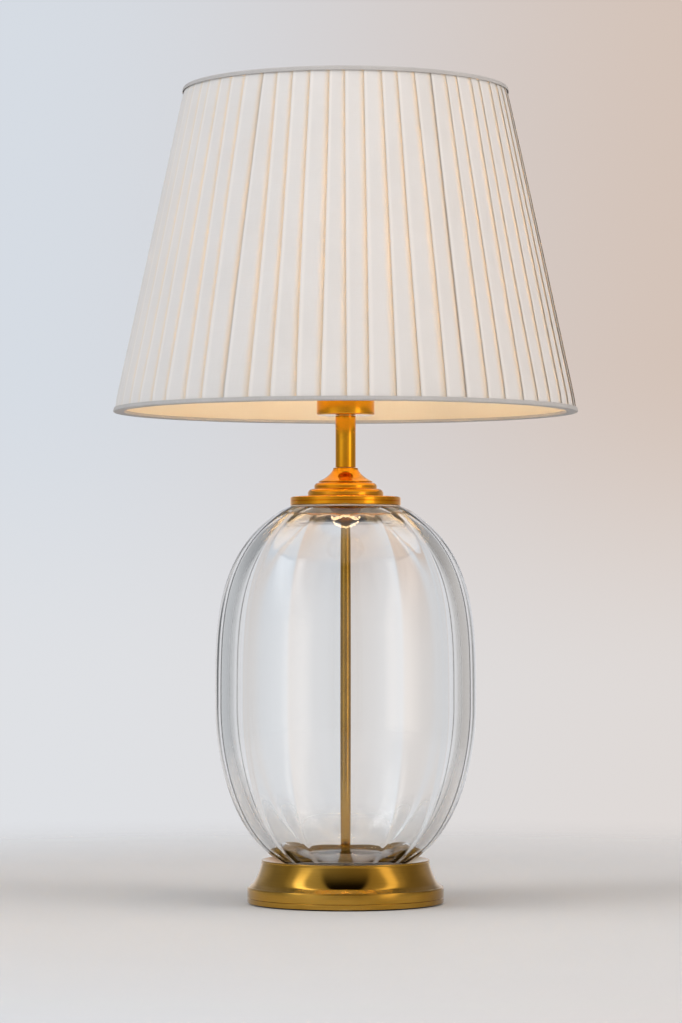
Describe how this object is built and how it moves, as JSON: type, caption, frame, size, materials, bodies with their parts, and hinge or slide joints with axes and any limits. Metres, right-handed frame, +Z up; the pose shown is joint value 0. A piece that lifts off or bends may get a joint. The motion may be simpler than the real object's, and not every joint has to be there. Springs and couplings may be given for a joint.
{
  "type": "table lamp with shade",
  "caption": "Table lamp with a weighted gold base, a clear fluted glass body on a central rod, a stepped collar and a tapered pleated shade.",
  "frame": {"origin": "centre of the felt pad's underside, on the surface that the lamp stands on", "axes": "+Z up along the lamp pipe; -Y is the front, with the cord inlet at the back on +Y; +X to the right seen from the front"},
  "size_m": [0.356, 0.356, 0.624],
  "materials": {
    "antique_gold": "brushed antique gold, lacquered",
    "bright_gold": "brushed warm gold, lacquered",
    "clear_glass": "clear, thick, pressed with fourteen soft lobes",
    "felt": "matt wool felt",
    "zinc_steel": "zinc plated",
    "cast_iron": "as cast, black",
    "clear_rubber": "translucent silicone",
    "black_rubber": "matt",
    "white_plastic": "moulded thermoset",
    "black_plastic": "vitreous black",
    "brass": "plain sheet",
    "brown_wire": "insulated lead",
    "blue_wire": "insulated lead",
    "white_wire_coat": "white coated steel wire",
    "pleated_fabric": "knife-pleated fine weave, off white",
    "lining_fabric": "smooth lining, warm cream",
    "binding_tape": "folded binding tape",
    "opal_glass": "opal, warm white when lit",
    "nickel": "nickel plated"
  },
  "bodies": {
    "stand": {"felt_pad": "felt", "bottom_plate": "zinc_steel", "plate_screw_1": "zinc_steel", "plate_screw_2": "zinc_steel", "plate_screw_3": "zinc_steel", "base_weight": "cast_iron", "base_shell": "antique_gold", "cord_inlet_grommet": "black_rubber", "terminal_block": "white_plastic", "lamp_pipe": "zinc_steel", "lower_nut": "zinc_steel", "lower_washer": "zinc_steel", "upper_nut": "zinc_steel", "live_lead": "brown_wire", "neutral_lead": "blue_wire", "seat_gasket": "clear_rubber", "glass_body": "clear_glass", "neck_gasket": "clear_rubber", "centre_rod": "bright_gold", "collar_flange": "bright_gold", "step_ring": "bright_gold", "neck_cone": "bright_gold", "stem_tube": "bright_gold", "holder_cup": "bright_gold", "holder_base": "white_plastic", "live_terminal": "brass", "neutral_terminal": "brass", "holder_barrel": "white_plastic", "screw_shell": "brass", "side_contact": "brass"},
    "contact": {"centre_contact": "brass"},
    "bulb": {"bulb_globe": "opal_glass", "bulb_cap": "nickel", "bulb_insulator": "black_plastic", "bulb_tip": "nickel"},
    "clamp_ring": {"shade_clamp_ring": "white_plastic"},
    "shade": {"fitter_ring": "white_wire_coat", "fitter_arm_1": "white_wire_coat", "fitter_arm_2": "white_wire_coat", "fitter_arm_3": "white_wire_coat", "strut_1": "white_wire_coat", "strut_2": "white_wire_coat", "strut_3": "white_wire_coat", "strut_4": "white_wire_coat", "strut_5": "white_wire_coat", "strut_6": "white_wire_coat", "top_ring": "white_wire_coat", "bottom_ring": "white_wire_coat", "pleated_cover": "pleated_fabric", "shade_lining": "lining_fabric", "top_binding": "binding_tape", "bottom_binding": "binding_tape"}
  },
  "joints": [
    {"name": "bulb_out", "type": "slide", "parent": "stand", "child": "bulb", "axis": [0, 0, 1], "range_m": [0, 0.12]},
    {"name": "shade_lift", "type": "slide", "parent": "stand", "child": "clamp_ring", "axis": [0, 0, 1], "range_m": [0, 0.06]},
    {"name": "shade_turn", "type": "hinge", "parent": "clamp_ring", "child": "shade", "pos_m": [0, 0, 0.413], "axis": [0, 0, 1], "continuous": true},
    {"name": "contact_press", "type": "slide", "parent": "stand", "child": "contact", "axis": [0, 0, -1], "range_m": [0, 0.0015], "stiffness_N_per_m": 1500, "springref_m": -0.0005}
  ],
  "couplings": [
    {"joint": "shade_lift", "follows": "bulb_out", "ratio": 0.5}
  ]
}
